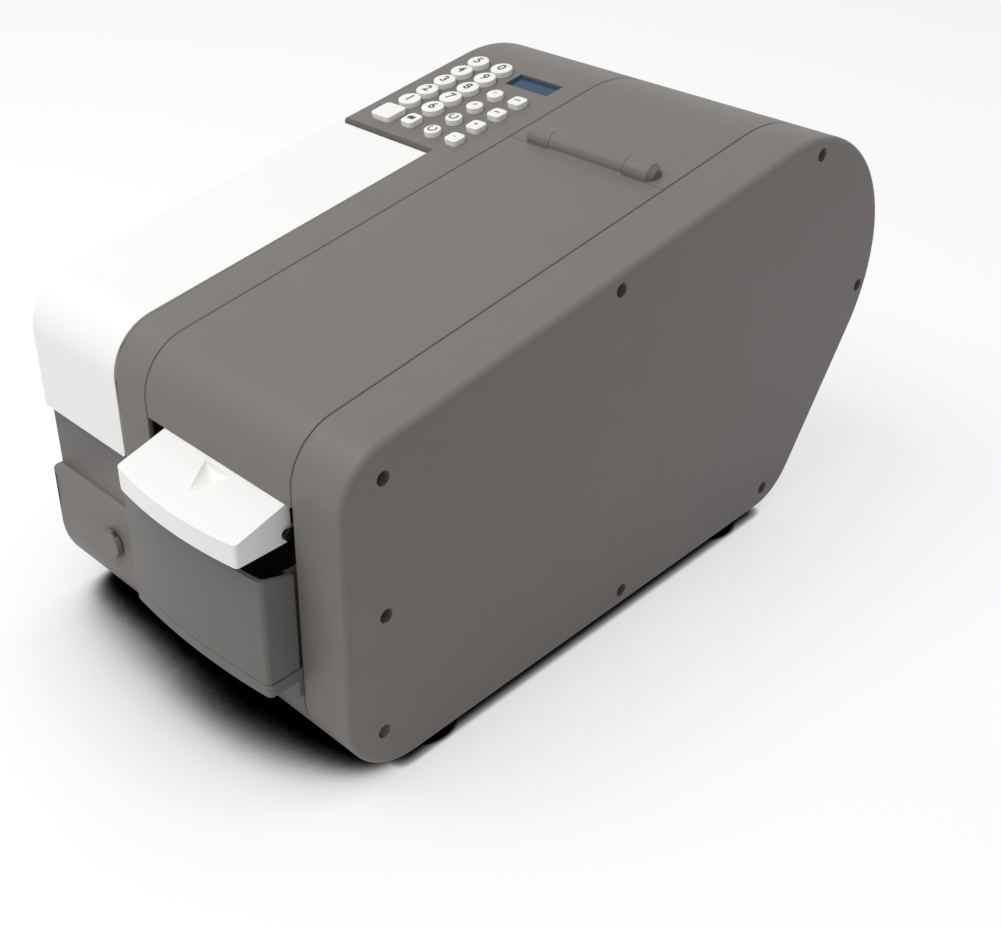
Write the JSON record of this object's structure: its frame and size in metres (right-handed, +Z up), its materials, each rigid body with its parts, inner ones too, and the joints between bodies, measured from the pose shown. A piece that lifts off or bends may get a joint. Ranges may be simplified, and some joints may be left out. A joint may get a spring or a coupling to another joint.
{
  "type": "gummed tape dispenser",
  "caption": "Electronic counter-top dispenser for gummed paper tape: grey housing with hinged lid, white bottle cover, keypad, tape exit and pull-out water tank.",
  "frame": {"origin": "on the counter under the middle of the outline's bounding box, at the undersides of the feet", "axes": "+X to the operator's right, +Y to the back, +Z up"},
  "size_m": [0.28, 0.535, 0.2851],
  "materials": {
    "grey_plastic": "fine textured, satin",
    "white_plastic": "smooth, semi-gloss",
    "key_plastic": "smooth, satin",
    "black_plastic": "satin",
    "bottle_plastic": "translucent, glossy",
    "sheet_steel": "brushed",
    "dark_steel": "blackened",
    "pin_steel": "polished",
    "screw_steel": "zinc plated",
    "rubber": "matt",
    "brush": "dark stained wood with black bristles",
    "roller_rubber": "matt, ground",
    "roller_plastic": "satin",
    "board_green": "lacquered",
    "display_blue": "glossy window",
    "aluminium": "plain"
  },
  "bodies": {
    "body": {"base_pan": "sheet_steel", "rubber_feet": "rubber", "front_base": "grey_plastic", "right_frame_plate": "dark_steel", "left_frame_plate": "dark_steel", "right_cover": "grey_plastic", "cover_screws": "screw_steel", "left_housing": "grey_plastic", "left_lower_cover": "grey_plastic", "rear_cover": "grey_plastic", "hinge_pin": "pin_steel", "water_bottle": "bottle_plastic", "exit_cover_pin": "pin_steel", "heater_plate": "aluminium", "tape_guide": "sheet_steel", "feed_motor": "sheet_steel", "drive_belt": "black_plastic", "fixed_blade": "sheet_steel", "cutter_solenoid": "black_plastic", "main_board": "board_green", "power_supply": "sheet_steel", "power_inlet": "black_plastic", "power_switch": "black_plastic", "keypad_board": "board_green", "lcd_module": "black_plastic", "lcd_window": "display_blue"},
    "lid": {"lid": "grey_plastic"},
    "bottle_cover": {"bottle_cover": "white_plastic"},
    "exit_cover": {"exit_cover": "white_plastic"},
    "tank": {"water_tank": "grey_plastic", "brushes": "brush"},
    "feed_roller": {"feed_roller": "roller_rubber"},
    "pressure_roller": {"pressure_roller": "roller_rubber"},
    "motor_pulley": {"motor_pulley": "aluminium"},
    "front_roll_roller": {"front_roll_roller": "roller_plastic"},
    "rear_roll_roller": {"rear_roll_roller": "roller_plastic"},
    "moving_blade": {"moving_blade": "sheet_steel"},
    "power_rocker": {"power_rocker": "black_plastic"},
    "front_knob": {"front_knob": "grey_plastic"},
    "key_start": {"key_start": "key_plastic"},
    "key_feed": {"key_feed": "key_plastic"},
    "key_number_1": {"key_number_1": "key_plastic"},
    "key_number_2": {"key_number_2": "key_plastic"},
    "key_number_3": {"key_number_3": "key_plastic"},
    "key_number_4": {"key_number_4": "key_plastic"},
    "key_number_5": {"key_number_5": "key_plastic"},
    "key_number_6": {"key_number_6": "key_plastic"},
    "key_number_7": {"key_number_7": "key_plastic"},
    "key_number_8": {"key_number_8": "key_plastic"},
    "key_number_9": {"key_number_9": "key_plastic"},
    "key_number_0": {"key_number_0": "key_plastic"},
    "key_round_1": {"key_round_1": "key_plastic"},
    "key_round_2": {"key_round_2": "key_plastic"},
    "key_round_3": {"key_round_3": "key_plastic"},
    "key_round_4": {"key_round_4": "key_plastic"},
    "key_square_1": {"key_square_1": "key_plastic"},
    "key_square_2": {"key_square_2": "key_plastic"},
    "key_square_3": {"key_square_3": "key_plastic"},
    "key_square_4": {"key_square_4": "key_plastic"}
  },
  "joints": [
    {"name": "lid_hinge", "type": "hinge", "parent": "body", "child": "lid", "pos_m": [0.0391, 0.0733, 0.27188], "axis": [-1, 0, 0], "range_deg": [0, 100]},
    {"name": "bottle_cover_hinge", "type": "hinge", "parent": "body", "child": "bottle_cover", "pos_m": [-0.0946, 0.0189, 0.25617], "axis": [-1, 0, 0], "range_deg": [0, 75]},
    {"name": "exit_cover_hinge", "type": "hinge", "parent": "body", "child": "exit_cover", "pos_m": [0.0445, -0.23, 0.1668], "axis": [-1, 0, 0], "range_deg": [0, 30]},
    {"name": "tank_slide", "type": "slide", "parent": "body", "child": "tank", "axis": [0, -1, 0], "range_m": [0, 0.06]},
    {"name": "feed_roller_spin", "type": "hinge", "parent": "body", "child": "feed_roller", "pos_m": [0.0445, -0.095, 0.14585], "axis": [1, 0, 0], "continuous": true},
    {"name": "pressure_roller_spin", "type": "hinge", "parent": "body", "child": "pressure_roller", "pos_m": [0.0445, -0.095, 0.17015], "axis": [1, 0, 0], "continuous": true},
    {"name": "motor_pulley_spin", "type": "hinge", "parent": "body", "child": "motor_pulley", "pos_m": [0.1035, -0.055, 0.12], "axis": [1, 0, 0], "continuous": true},
    {"name": "front_roll_roller_spin", "type": "hinge", "parent": "body", "child": "front_roll_roller", "pos_m": [0.0445, 0.1085, 0.08584], "axis": [1, 0, 0], "continuous": true},
    {"name": "rear_roll_roller_spin", "type": "hinge", "parent": "body", "child": "rear_roll_roller", "pos_m": [0.0445, 0.2125, 0.08584], "axis": [1, 0, 0], "continuous": true},
    {"name": "blade_lift", "type": "slide", "parent": "body", "child": "moving_blade", "axis": [0, 0, 1], "range_m": [0, 0.008], "stiffness_N_per_m": 200, "springref_m": -0.001},
    {"name": "rocker_tilt", "type": "hinge", "parent": "body", "child": "power_rocker", "pos_m": [-0.1358, 0.132, 0.056], "axis": [0, 0, 1], "range_deg": [-8, 8]},
    {"name": "knob_turn", "type": "hinge", "parent": "body", "child": "front_knob", "pos_m": [-0.0775, -0.23, 0.07], "axis": [0, 1, 0], "range_deg": [0, 270]},
    {"name": "key_start_press", "type": "slide", "parent": "body", "child": "key_start", "axis": [0, 0.1495, -0.9888], "range_m": [0, 0.0015], "stiffness_N_per_m": 400, "springref_m": -0.0003},
    {"name": "key_feed_press", "type": "slide", "parent": "body", "child": "key_feed", "axis": [0, 0.1495, -0.9888], "range_m": [0, 0.0015], "stiffness_N_per_m": 400, "springref_m": -0.0003},
    {"name": "key_number_1_press", "type": "slide", "parent": "body", "child": "key_number_1", "axis": [0, 0.1495, -0.9888], "range_m": [0, 0.0015], "stiffness_N_per_m": 400, "springref_m": -0.0003},
    {"name": "key_number_2_press", "type": "slide", "parent": "body", "child": "key_number_2", "axis": [0, 0.1495, -0.9888], "range_m": [0, 0.0015], "stiffness_N_per_m": 400, "springref_m": -0.0003},
    {"name": "key_number_3_press", "type": "slide", "parent": "body", "child": "key_number_3", "axis": [0, 0.1495, -0.9888], "range_m": [0, 0.0015], "stiffness_N_per_m": 400, "springref_m": -0.0003},
    {"name": "key_number_4_press", "type": "slide", "parent": "body", "child": "key_number_4", "axis": [0, 0.1495, -0.9888], "range_m": [0, 0.0015], "stiffness_N_per_m": 400, "springref_m": -0.0003},
    {"name": "key_number_5_press", "type": "slide", "parent": "body", "child": "key_number_5", "axis": [0, 0.1495, -0.9888], "range_m": [0, 0.0015], "stiffness_N_per_m": 400, "springref_m": -0.0003},
    {"name": "key_number_6_press", "type": "slide", "parent": "body", "child": "key_number_6", "axis": [0, 0.1495, -0.9888], "range_m": [0, 0.0015], "stiffness_N_per_m": 400, "springref_m": -0.0003},
    {"name": "key_number_7_press", "type": "slide", "parent": "body", "child": "key_number_7", "axis": [0, 0.1495, -0.9888], "range_m": [0, 0.0015], "stiffness_N_per_m": 400, "springref_m": -0.0003},
    {"name": "key_number_8_press", "type": "slide", "parent": "body", "child": "key_number_8", "axis": [0, 0.1495, -0.9888], "range_m": [0, 0.0015], "stiffness_N_per_m": 400, "springref_m": -0.0003},
    {"name": "key_number_9_press", "type": "slide", "parent": "body", "child": "key_number_9", "axis": [0, 0.1495, -0.9888], "range_m": [0, 0.0015], "stiffness_N_per_m": 400, "springref_m": -0.0003},
    {"name": "key_number_0_press", "type": "slide", "parent": "body", "child": "key_number_0", "axis": [0, 0.1495, -0.9888], "range_m": [0, 0.0015], "stiffness_N_per_m": 400, "springref_m": -0.0003},
    {"name": "key_round_1_press", "type": "slide", "parent": "body", "child": "key_round_1", "axis": [0, 0.1495, -0.9888], "range_m": [0, 0.0015], "stiffness_N_per_m": 400, "springref_m": -0.0003},
    {"name": "key_round_2_press", "type": "slide", "parent": "body", "child": "key_round_2", "axis": [0, 0.1495, -0.9888], "range_m": [0, 0.0015], "stiffness_N_per_m": 400, "springref_m": -0.0003},
    {"name": "key_round_3_press", "type": "slide", "parent": "body", "child": "key_round_3", "axis": [0, 0.1495, -0.9888], "range_m": [0, 0.0015], "stiffness_N_per_m": 400, "springref_m": -0.0003},
    {"name": "key_round_4_press", "type": "slide", "parent": "body", "child": "key_round_4", "axis": [0, 0.1495, -0.9888], "range_m": [0, 0.0015], "stiffness_N_per_m": 400, "springref_m": -0.0003},
    {"name": "key_square_1_press", "type": "slide", "parent": "body", "child": "key_square_1", "axis": [0, 0.1495, -0.9888], "range_m": [0, 0.0015], "stiffness_N_per_m": 400, "springref_m": -0.0003},
    {"name": "key_square_2_press", "type": "slide", "parent": "body", "child": "key_square_2", "axis": [0, 0.1495, -0.9888], "range_m": [0, 0.0015], "stiffness_N_per_m": 400, "springref_m": -0.0003},
    {"name": "key_square_3_press", "type": "slide", "parent": "body", "child": "key_square_3", "axis": [0, 0.1495, -0.9888], "range_m": [0, 0.0015], "stiffness_N_per_m": 400, "springref_m": -0.0003},
    {"name": "key_square_4_press", "type": "slide", "parent": "body", "child": "key_square_4", "axis": [0, 0.1495, -0.9888], "range_m": [0, 0.0015], "stiffness_N_per_m": 400, "springref_m": -0.0003}
  ],
  "couplings": [
    {"joint": "pressure_roller_spin", "follows": "feed_roller_spin", "ratio": -1.4},
    {"joint": "motor_pulley_spin", "follows": "feed_roller_spin", "ratio": 1.5}
  ]
}
